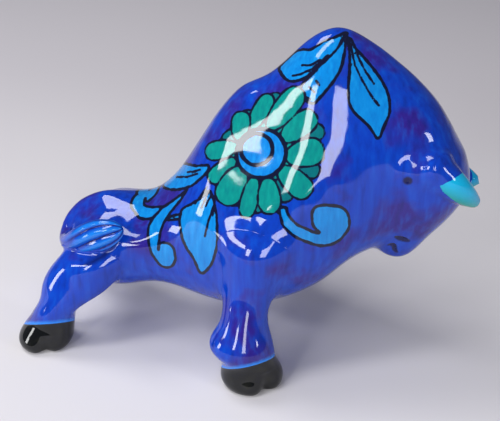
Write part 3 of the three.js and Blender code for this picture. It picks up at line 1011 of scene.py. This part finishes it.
# A closed outline rounded by Catmull-Rom curves between its points.
def rounded(outline, perSpan=5):
    p = np.array(outline, float)
    a, b, c, d = np.roll(p, 1, 0), p, np.roll(p, -1, 0), np.roll(p, -2, 0)
    f = (np.arange(perSpan) / perSpan)[:, None, None]
    square = a - 2.5 * b + 2 * c - d / 2
    cube = 1.5 * (b - c) + (d - a) / 2
    curve = b + f * ((c - a) / 2 + f * (square + f * cube))
    return curve.transpose(1, 0, 2).reshape(-1, 2)


petalForm = {"power": 0.86, "inner": 0.76, "spread": 0.34}


# A petal between two points: a superellipse, narrower towards the middle of the flower.
def petalOutline(start, end, half, count=48):
    start, end = np.array(start, float), np.array(end, float)
    angle = np.linspace(0, 2 * math.pi, count, endpoint=False)
    power = petalForm["power"]
    along = 0.5 - 0.5 * np.sign(np.cos(angle)) * np.abs(np.cos(angle)) ** power
    across = half * np.sign(np.sin(angle)) * np.abs(np.sin(angle)) ** power
    across = across * (petalForm["inner"] + petalForm["spread"] * along)
    way = end - start
    side = np.array([-way[1], way[0]]) / np.linalg.norm(way)
    return start + along[:, None] * way + across[:, None] * side


# A circle as a row of points.
def ringOutline(centre, radius, count=60):
    angle = np.linspace(0, 2 * math.pi, count, endpoint=False)
    return np.array(centre) + radius * np.stack([np.cos(angle), np.sin(angle)], 1)


# Distance to a row of straight lines on the plane, for points in reach of it.
def lineDistance(q, a, b):
    along = b - a
    t = ((q[:, None] - a) * along).sum(2) / np.maximum((along * along).sum(1), 1e-9)
    away = q[:, None] - a - np.clip(t, 0, 1)[..., None] * along
    return np.sqrt((away * away).sum(2).min(1))


# Depth into a closed outline, below zero outside: the distance, signed by an odd or even number of
# crossings of a level line.
def depthInto(q, outline):
    a, b = outline, np.roll(outline, -1, 0)
    above = (a[:, 1] > q[:, 1:2]) != (b[:, 1] > q[:, 1:2])
    rise = np.where(b[:, 1] == a[:, 1], 1, b[:, 1] - a[:, 1])
    crossing = a[:, 0] + (q[:, 1:2] - a[:, 1]) / rise * (b[:, 0] - a[:, 0])
    inside = (above & (q[:, :1] < crossing)).sum(1) % 2 == 1
    return lineDistance(q, a, b) * np.where(inside, 1, -1)


# One stroke after another: each shape covers what lies beneath it, then gets its own outline.
def paintedOn(points, normals, side):
    right, up, back = lookingFrom(view["azimuth"], view["elevation"])
    mirror = np.array([1, -side, 1])
    away = points * mirror - np.array(painting["origin"])
    q = np.stack([away @ right, away @ up], 1)
    facing = (normals * mirror) @ back
    reach = painting["reach"]
    names = ("leaf", "backPetal", "petal", "disc", "line")
    depths = {name: np.full(len(q), -reach) for name in names}

    def draw(kind, outline, width, veins=()):
        near = np.nonzero(((q > outline.min(0) - reach) & (q < outline.max(0) + reach)).all(1))[0]
        depth = depthInto(q[near], outline)
        for name, values in depths.items():
            if name == kind:
                values[near] = np.maximum(values[near], depth)
            else:
                values[near] = np.minimum(values[near], -depth)
        lines = depths["line"]
        lines[near] = np.maximum(lines[near], width / 2 - np.abs(depth))
        for vein in veins:
            vein = np.array(vein)
            away = brushWidths["vein"] / 2 - lineDistance(q[near], vein[:-1], vein[1:])
            lines[near] = np.maximum(lines[near], away)

    for outline, veins in leaves.values():
        draw("leaf", rounded(outline), brushWidths["leaf"], veins)
    draw("petal", ringOutline((0, 0), underPetals), 0)
    for petal in backPetals:
        draw("backPetal", petalOutline(*petal), brushWidths["petal"])
    for petal in frontPetals:
        draw("petal", petalOutline(*petal), brushWidths["petal"])
    for centre, radius, width in discs:
        draw("disc", ringOutline(centre, radius), width)
    edge = painting["edge"]
    shown = facing > painting["facing"]
    for name, values in depths.items():
        depths[name] = np.where(shown, np.clip(values + edge, 0, 2 * edge), 0)
    return depths


poolingAndShade = {"stroke": 0.9, "tightJoin": 4, "creaseWidth": 2.2, "reach": 9, "creaseShadeShare": 0.8}


# How dark glaze pools, from 0 to 1: in the strokes of the head, where the eye's dark dot is paint
# and the nostril and mouth get painted shade, and in the crease round the tuft, painted shade
# where a point is as near to the trunk as to the tail.
def pooledGlazeAndShade(points):
    q = folded(points)
    marks = [smoothStep(-markField(q, mark), -poolingAndShade["stroke"], 0) for mark in faceMarks]
    tailPart, join = sweptField(points, sweeps["tail"])
    creaseShade = 1 - np.abs(trunkField(points) - tailPart) / poolingAndShade["creaseWidth"]
    creaseShade = np.where(join < poolingAndShade["tightJoin"], creaseShade, 0) * (tailPart < poolingAndShade["reach"])
    return np.clip(np.maximum(np.max(marks, 0), poolingAndShade["creaseShadeShare"] * creaseShade), 0, 1)


# A mesh in metres that carries its own normals, one for each corner: the skin's on the skin, and
# the face's own on the caps. It stands for the CAD node of the same name and rides on the body.
def makePiece(node, points, faces, normals, flat, slot, attributes):
    every = np.concatenate([faces, flat])
    mesh = bpy.data.meshes.new(node)
    mesh.vertices.add(len(points))
    mesh.vertices.foreach_set("co", (points / metre).astype(np.float32).ravel())
    mesh.loops.add(every.size)
    mesh.loops.foreach_set("vertex_index", every.astype(np.int32).ravel())
    mesh.polygons.add(len(every))
    mesh.polygons.foreach_set("loop_start", np.arange(0, every.size, 3, dtype=np.int32))
    mesh.update(calc_edges=True)
    for key, values in attributes.items():
        kept = mesh.attributes.new(key, "FLOAT", "POINT")
        kept.data.foreach_set("value", values.astype(np.float32))
    p = points[flat]
    across = unit(np.cross(p[:, 1] - p[:, 0], p[:, 2] - p[:, 0]) + 1e-12)
    corners = np.concatenate([normals[faces].reshape(-1, 3), np.repeat(across, 3, 0)])
    mesh.shade_smooth()
    mesh.normals_split_custom_set(corners.tolist())
    mesh.materials.append(glazes[slot])
    piece = linked(f"{node}_glazed", mesh)
    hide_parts(node)
    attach(piece, "root")
    print("made", node, "with", len(every), "triangles")


# A hex colour as the eye sees it, turned to linear light.
def linear(hexColour):
    channels = [(hexColour >> shift & 255) / 255 for shift in (16, 8, 0)]
    return [c / 12.92 if c <= 0.04045 else ((c + 0.055) / 1.055) ** 2.4 for c in channels] + [1]


# Adds a node, links or sets its inputs, and sets its settings. A node stands for its first output.
def addNode(tree, kind, inputs={}, **settings):
    node = tree.nodes.new(f"ShaderNode{kind}")
    for key, value in settings.items():
        setattr(node, key, value)
    for key, value in inputs.items():
        if isinstance(value, bpy.types.Node):
            value = value.outputs[0]
        if isinstance(value, bpy.types.NodeSocket):
            tree.links.new(value, node.inputs[key])
        else:
            node.inputs[key].default_value = value
    return node


# Brings tones into a colour, one after another. Each is a hex colour, the two values of a measure
# between which it comes in, and its share of the colour where it is full.
def toned(tree, colour, measure, *tones):
    for tone, start, full, share in tones:
        factor = addNode(tree, "MapRange", {0: measure, 1: start, 2: full, 4: share})
        tints = {0: factor, 6: colour, 7: linear(tone)}
        colour = addNode(tree, "Mix", tints, data_type="RGBA").outputs[2]
    return colour


# Each tone is a colour with its place in the noise, as toned() reads it. Lengths are in
# millimetres: of the violet clouds, and of the brush's strokes, each half a wave of the noise.
cobalt = {
    "blue": 0x083CB6,
    "violet": (0x2E2088, 0.5, 0.64, 1),
    "bright": (0x0C60D4, 0.5, 0.8, 0.5),
    "deep": (0x0A1A6A, 0.48, 0.25, 0.5),
    "cloudLength": 24,
    "strokeLength": 16,
    "strokeWidth": 1.6,
    "strokeTurn": (0.2, 0.5, 0),
}


# Brushed cobalt: a blue ground with violet clouds, and lighter and darker strokes of the brush.
def brushedCobalt(tree, place):
    slow = {"Vector": place, "Scale": 1 / cobalt["cloudLength"], "Detail": 3}
    clouds = addNode(tree, "TexNoise", slow)
    colour = toned(tree, linear(cobalt["blue"]), clouds, cobalt["violet"])
    across = 1 / cobalt["strokeWidth"]
    stretch = (across, across, 1 / cobalt["strokeLength"])
    turn = {"Vector": place, "Rotation": cobalt["strokeTurn"], "Scale": stretch}
    turned = addNode(tree, "Mapping", turn)
    stroke = addNode(tree, "TexNoise", {"Vector": turned, "Scale": 0.5, "Detail": 4})
    return toned(tree, colour, stroke, cobalt["bright"], cobalt["deep"])


# "length" is in millimetres, and nearly all of the noise lies between "low" and "high".
waver = {"length": 3, "low": 0.2, "high": 0.8}


# A noise that moves the border of a paint by up to some millimetres either way.
def wavering(tree, place, most):
    fine = addNode(tree, "TexNoise", {"Vector": place, "Scale": 1 / waver["length"], "Detail": 2})
    span = {0: fine, 1: waver["low"], 2: waver["high"], 3: -most, 4: most}
    return addNode(tree, "MapRange", span)


# Lays one colour over another where an attribute, a depth in millimetres with its border at an
# edge, passes that edge. A little noise makes the border a brush's.
def laidOver(tree, colour, over, attribute, wobble, edge, softness=0.12):
    depth = addNode(tree, "Attribute", attribute_name=attribute).outputs["Fac"]
    uneven = addNode(tree, "Math", {0: depth, 1: wobble}, operation="ADD")
    factor = addNode(tree, "MapRange", {0: uneven, 1: edge - softness, 2: edge + softness})
    mixed = addNode(tree, "Mix", {0: factor, 6: colour, 7: over}, data_type="RGBA")
    return mixed.outputs[2]


# Lengths and height in millimetres. "peelShare" is how high the peel stands beside the ripple. The
# clay under the coat is matt, so all the shine is the coat's.
surface = {"rippleLength": 9, "peelLength": 1.8, "peelShare": 0.06, "height": 0.08}
coat = {"Coat Weight": 1, "Coat IOR": 1.5, "Coat Roughness": 0.05}
clayBody = {"Roughness": 0.5, "Specular IOR Level": 0}


# A clear fired glaze over colour: a slow ripple in its surface and fine orange peel, under a coat
# that reflects like glass.
def glaze(name, colourOf):
    material = bpy.data.materials.new(name)
    material.use_nodes = True
    tree = material.node_tree
    shader = tree.nodes["Principled BSDF"]
    metres = addNode(tree, "TexCoord").outputs["Object"]
    scaled = addNode(tree, "VectorMath", {0: metres, "Scale": metre}, operation="SCALE")
    place = scaled.outputs[0]
    tree.links.new(colourOf(tree, place), shader.inputs["Base Color"])
    ripple = {"Vector": place, "Scale": 1 / surface["rippleLength"], "Detail": 1}
    peel = {"Vector": place, "Scale": 1 / surface["peelLength"], "Detail": 2}
    parts = {0: addNode(tree, "TexNoise", peel), 1: surface["peelShare"]}
    parts[2] = addNode(tree, "TexNoise", ripple)
    height = addNode(tree, "Math", parts, operation="MULTIPLY_ADD")
    distance = surface["height"] / metre
    bump = addNode(tree, "Bump", {"Height": height, "Strength": 1, "Distance": distance})
    for key in ("Normal", "Coat Normal"):
        tree.links.new(bump.outputs[0], shader.inputs[key])
    for key, value in (coat | clayBody).items():
        shader.inputs[key].default_value = value
    return material


# Each paint of the flower and leaves: its ground, and the darker and lighter strokes in it. Strokes
# have "stretch" times "scale" waves a millimetre, so they are about 1 mm wide and 5 mm long.
paints = {
    "leaf": (0x0684D4, 0x0566BC, 0x22A6EC),
    "backPetal": (0x046C74, 0x055C70, 0x098084),
    "petal": (0x058A84, 0x05697A, 0x12A89A),
    "disc": (0x0A82D6, 0x085CBA, 0x34ACEC),
}
paintStroke = {
    "turn": (0, 0.8, 0.3),
    "stretch": (0.7, 0.5, 0.12),
    "scale": 0.8,
    "dark": (0.5, 0.25, 0.6),
    "light": (0.52, 0.8, 0.5),
    "waver": 0.3,
}

# What lies over the paint: its colour, its border and how soft the border is. The rim is the bare
# band above a hoof, the comb the crests of the tuft, and the pool dark glaze and painted shade in a
# groove or crease.
overPaint = {
    "rim": (0x1E80E8, 2.6, 0.8),
    "comb": (0x1478DC, 0.6, 0.35),
    "poolAndShade": (0x060C4C, 0.55, 0.4),
}
lineColour = 0x0C1230


# Painted cobalt: flower and leaves over the brushed ground, navy lines over them, and dark glaze
# pooled in strokes and creases, with painted shade there.
def paintedColour(tree, place):
    colour = brushedCobalt(tree, place)
    wobble = wavering(tree, place, paintStroke["waver"])
    turn = {"Vector": place, "Rotation": paintStroke["turn"], "Scale": paintStroke["stretch"]}
    turned = addNode(tree, "Mapping", turn)
    strokes = {"Vector": turned, "Scale": paintStroke["scale"], "Detail": 3}
    brush = addNode(tree, "TexNoise", strokes)
    edge = painting["edge"]
    for attribute, (ground, dark, light) in paints.items():
        tones = (dark, *paintStroke["dark"]), (light, *paintStroke["light"])
        paint = toned(tree, linear(ground), brush, *tones)
        colour = laidOver(tree, colour, paint, attribute, wobble, edge)
    colour = laidOver(tree, colour, linear(lineColour), "line", wobble, edge)
    for attribute, (tone, border, softness) in overPaint.items():
        uneven = wobble if attribute == "rim" else 0
        colour = laidOver(tree, colour, linear(tone), attribute, uneven, border, softness)
    return colour


# "low" comes in down the horn, by height in millimetres, and "under" as the surface turns down:
# it is painted shade.
turquoise = {
    "top": 0x0FB6E6,
    "low": (0x0879B8, 100, 90, 0.55),
    "under": (0x0C9C8C, 0.1, -0.75, 1),
    "waver": 0.4,
}


# Turquoise glaze runs from cyan on top to green underneath, the green a painted shade on faces that
# turn down, and the collar is cobalt.
def turquoiseShadedColour(tree, place):
    height = addNode(tree, "SeparateXYZ", {0: place}).outputs["Z"]
    facing = addNode(tree, "NewGeometry").outputs["Normal"]
    up = addNode(tree, "SeparateXYZ", {0: facing}).outputs["Z"]
    colour = toned(tree, linear(turquoise["top"]), height, turquoise["low"])
    # Painted shade: darker green where the surface faces down.
    colour = toned(tree, colour, up, turquoise["under"])
    wobble = wavering(tree, place, turquoise["waver"])
    return laidOver(tree, colour, brushedCobalt(tree, place), "collar", wobble, painting["edge"])


black = {"body": 0x0C0E10, "thin": (0x2A2A22, 0.5, 0.75, 0.6), "cloudLength": 6}


# Black glaze breaks to a thin olive brown where it is thin.
def blackColour(tree, place):
    clouds = {"Vector": place, "Scale": 1 / black["cloudLength"], "Detail": 3}
    return toned(tree, linear(black["body"]), addNode(tree, "TexNoise", clouds), black["thin"])


glazes = {
    "cobalt_glaze": glaze("cobalt_glaze", paintedColour),
    "turquoise_glaze": glaze("turquoise_glaze", turquoiseShadedColour),
    "black_glaze": glaze("black_glaze", blackColour),
}


# The lowest and highest corner of a CAD node in millimetres, with a margin.
def spanOf(node, margin):
    low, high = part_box(node)
    return np.array(low) * metre - margin, np.array(high) * metre + margin


# Grids over the fields in millimetres: the side of a cell, and how far a grid goes beyond its CAD
# node. A leg's grid ends short of the seam, a little under the ground and above its top.
bodyGrid = {"cell": 1.7, "margin": 4}
legGrid = {"cell": 1.3, "margin": 5, "under": 2.3, "seam": 2, "above": 3}


# Half of the trunk, closed flat along the seam, where its normals keep to the seam's plane.
def makeBodyHalf(sideName):
    node = f"{sideName}_body_half"
    low, high = spanOf(node, bodyGrid["margin"])
    points, faces, seam = skinOf(bodyField, low, high, bodyGrid["cell"], sides[sideName])
    normals = gradient(bodyField, points)
    normals[seam, 1] = 0
    normals = unit(normals)
    attributes = paintedOn(points, normals, sides[sideName])
    # Pooled dark glaze and painted shade in the head's strokes and the tuft's crease.
    attributes["poolAndShade"] = pooledGlazeAndShade(points)
    makePiece(node, points, faces, normals, caps(points, faces), "cobalt_glaze", attributes)


# A right leg is cut in two along its coronet, and mirrored for the left.
def makeLegs(leg, field):
    low, high = spanOf(f"right_{leg['name']}", legGrid["margin"])
    low = np.minimum(low, spanOf(f"right_{leg['name']}_hoof", legGrid["margin"])[0])
    low[2] = -legGrid["under"]
    high[1] = -legGrid["seam"]
    high[2] = upward(leg["sections"][-1][0] + leg["topRound"]) + legGrid["above"]
    points, faces, _ = skinOf(field, low, high, legGrid["cell"])
    edge = painting["edge"]
    flip = np.array([1, -1, 1])
    for part, sign, slot in (("", -1, "cobalt_glaze"), ("_hoof", 1, "black_glaze")):
        kept, cut = cutAlong(points, faces, sign * aboveCoronet(points, leg))
        normals = unit(gradient(field, kept))
        flat = caps(kept, cut)
        rim = np.clip(edge - aboveCoronet(kept, leg), 0, edge)
        attributes = {"rim": rim, "poolAndShade": pooledGlazeAndShade(kept)}
        node = f"{leg['name']}{part}"
        makePiece(f"right_{node}", kept, cut, normals, flat, slot, attributes)
        turned = kept * flip, cut[:, ::-1], normals * flip, flat[:, ::-1]
        makePiece(f"left_{node}", *turned, slot, attributes)


sunk = 0.12  # millimetres that a swept skin lies under the body's, so that they share no face


# The rings of a sweep joined into a closed skin with a point at each end. Normals are the mean of
# the faces round each point, by their areas.
def sweptSkin(sweep, around, lock):
    angle = np.linspace(0, 2 * math.pi, around, endpoint=False)
    count = len(sweep["middle"])
    wide = sweep["wide"][:, None] * np.cos(angle)
    deep = sweep["deep"][:, None] * lock * np.sin(angle)
    rings = sweep["middle"][:, None] + wide[..., None] * sweep["first"][:, None]
    rings = rings + deep[..., None] * sweep["second"][:, None]
    last = sweep["middle"][-1] + sweep["along"][-1] * sweep["tip"]
    points = np.concatenate([rings.reshape(-1, 3), sweep["middle"][:1], last[None]])
    i, j = np.meshgrid(np.arange(count - 1), np.arange(around), indexing="ij")
    a, b = (i * around + j).ravel(), (i * around + (j + 1) % around).ravel()
    j = np.arange(around)
    after = (j + 1) % around
    top = (count - 1) * around
    first, final = np.full(around, count * around), np.full(around, count * around + 1)
    faces = [np.stack([a, b, b + around], 1), np.stack([a, b + around, a + around], 1)]
    faces += [np.stack([first, after, j], 1), np.stack([final, top + j, top + after], 1)]
    faces = np.concatenate(faces)
    p = points[faces]
    across = np.cross(p[:, 1] - p[:, 0], p[:, 2] - p[:, 0])
    if (p[:, 0] * across).sum() < 0:
        faces, across = faces[:, ::-1], -across
    normals = np.zeros_like(points)
    for k in range(3):
        np.add.at(normals, faces[:, k], across)
    normals = unit(normals + 1e-12)
    return points - sunk * normals, faces, normals


hornPaint = {"share": 0.46, "lean": (-12.8, -15.6, -3)}


# A horn is round all along. Its collar ends at a plane that leans a little back from its way.
def makeHorn(sideName):
    node = f"{sideName}_horn"
    sweep = sweeps[node]
    points, faces, normals = sweptSkin(sweep, horn["around"], 1)
    at = int(hornPaint["share"] * (len(sweep["middle"]) - 1))
    lean = unit(np.array(hornPaint["lean"]) * np.array([1, -sides[sideName], 1]))
    normal = sweep["along"][at] - (sweep["along"][at] @ lean) * lean
    edge = painting["edge"]
    collar = np.clip(edge - (points - sweep["middle"][at]) @ unit(normal), 0, 2 * edge)
    makePiece(node, points, faces, normals, noCaps, "turquoise_glaze", {"collar": collar})


# Combed locks are a cosine of the angle round the tuft, sharper in the grooves than on the crests.
def makeTail():
    sweep = sweeps["tail"]
    around = tail["around"]
    angle = np.linspace(0, 2 * math.pi, around, endpoint=False)
    t = np.linspace(0, 1, len(sweep["middle"]))[:, None]
    bushy = sweep["bushy"][:, None]
    size, times = tail["lockWave"]
    crest = np.abs(np.cos(tail["locks"] / 2 * angle + size * np.sin(times * t)))
    lock = 1 + tail["lockDepth"] * bushy * (2 * crest - tail["lockMiddle"])
    points, faces, normals = sweptSkin(sweep, around, lock)
    comb = np.append((crest * bushy).ravel(), [0, 0])
    # The grooves between the locks are darkened: pooled glaze and painted shade.
    poolAndShade = np.append((smoothStep(-crest, -tail["grooveWidth"], 0) * bushy).ravel(), [0, 0])
    makePiece("tail", points, faces, normals, noCaps, "cobalt_glaze", {"comb": comb, "poolAndShade": poolAndShade})


# Bright windows of a dim room: azimuth, elevation, roll, size across and up in millimetres, and
# radiance. They stand at a distance from a point in the middle of the bull.
lampDistance = 1500
lampTarget = (0, 0, 60)
lamps = {
    "windowLeft": (-48, 31, 19, (800, 150), 14),
    "windowMiddle": (-22, 24, 0, (200, 520), 14),
    "windowRight": (12, 20, 0, (280, 620), 10),
    "windowFace": (62, 16, 0, (240, 300), 13),
    "windowHigh": (-55, 64, 0, (260, 900), 9),
    "windowBack": (-115, 60, 0, (500, 500), 9),
    "windowLow": (-72, 7, 0, (260, 300), 12),
}

# The light of the room, and the pale wall that the camera sees beyond the floor.
room = {"colour": 0xA4A6B0, "strength": 0.3, "wall": 0xB0AEB4}

# The floor is pale, and greyer behind the bull as painted shade. "fade" and "reach" are in metres.
floorCloth = {"near": 0xE4E1E5, "far": 0xD0CCD2, "fade": (0, 0.4), "reach": 3, "roughness": 0.9}


# Plain pale cotton, pulled flat: matt, with no weave that would show at this distance. Its far part
# is greyer as painted shade.
def clothMaterial():
    material = bpy.data.materials.new("pale_cloth")
    material.use_nodes = True
    tree = material.node_tree
    shader = tree.nodes["Principled BSDF"]
    place = addNode(tree, "TexCoord").outputs["Object"]
    behind = addNode(tree, "SeparateXYZ", {0: place}).outputs["Y"]
    low, high = floorCloth["fade"]
    span = {0: behind, 1: low, 2: high}
    fade = addNode(tree, "MapRange", span, interpolation_type="SMOOTHSTEP")
    # Painted shade: greyer away behind the bull.
    tints = {0: fade, 6: linear(floorCloth["near"]), 7: linear(floorCloth["far"])}
    mixed = addNode(tree, "Mix", tints, data_type="RGBA")
    tree.links.new(mixed.outputs[2], shader.inputs["Base Color"])
    shader.inputs["Roughness"].default_value = floorCloth["roughness"]
    return material


# One flat square on the ground.
def makeFloor():
    reach = floorCloth["reach"]
    corners = [(-reach, -reach, 0), (reach, -reach, 0), (reach, reach, 0), (-reach, reach, 0)]
    mesh = bpy.data.meshes.new("floor")
    mesh.from_pydata(corners, [], [(0, 1, 2, 3)])
    mesh.materials.append(clothMaterial())
    linked("floor", mesh)


# A rectangle of light; its power is its radiance times pi times its area.
def makeLamp(name, azimuth, elevation, roll, size, radiance):
    data = bpy.data.lights.new(name, "AREA")
    data.shape = "RECTANGLE"
    data.size, data.size_y = size[0] / metre, size[1] / metre
    data.energy = radiance * math.pi * data.size * data.size_y
    standBack(name, data, azimuth, elevation, lampDistance, lampTarget, roll)


# Floor, windows and room. The room lights everything; only the camera sees its wall.
def makeStage():
    makeFloor()
    for name, lamp in lamps.items():
        makeLamp(name, *lamp)
    world = bpy.data.worlds.new("room")
    world.use_nodes = True
    tree = world.node_tree
    background = tree.nodes["Background"]
    background.inputs["Color"].default_value = linear(room["colour"])
    background.inputs["Strength"].default_value = room["strength"]
    wall = addNode(tree, "Background", {"Color": linear(room["wall"])})
    seen = addNode(tree, "LightPath").outputs["Is Camera Ray"]
    mixed = addNode(tree, "MixShader", {0: seen, 1: background, 2: wall})
    tree.links.new(mixed.outputs[0], tree.nodes["World Output"].inputs["Surface"])
    bpy.context.scene.world = world
    bpy.context.scene.view_settings.view_transform = "Standard"


makeCamera()
makeStage()
print("camera and stage made")
for sideName in sides:
    makeBodyHalf(sideName)
    makeHorn(sideName)
makeLegs(foreleg, forelegField)
makeLegs(hindleg, hindlegField)
makeTail()
print("pieces made")
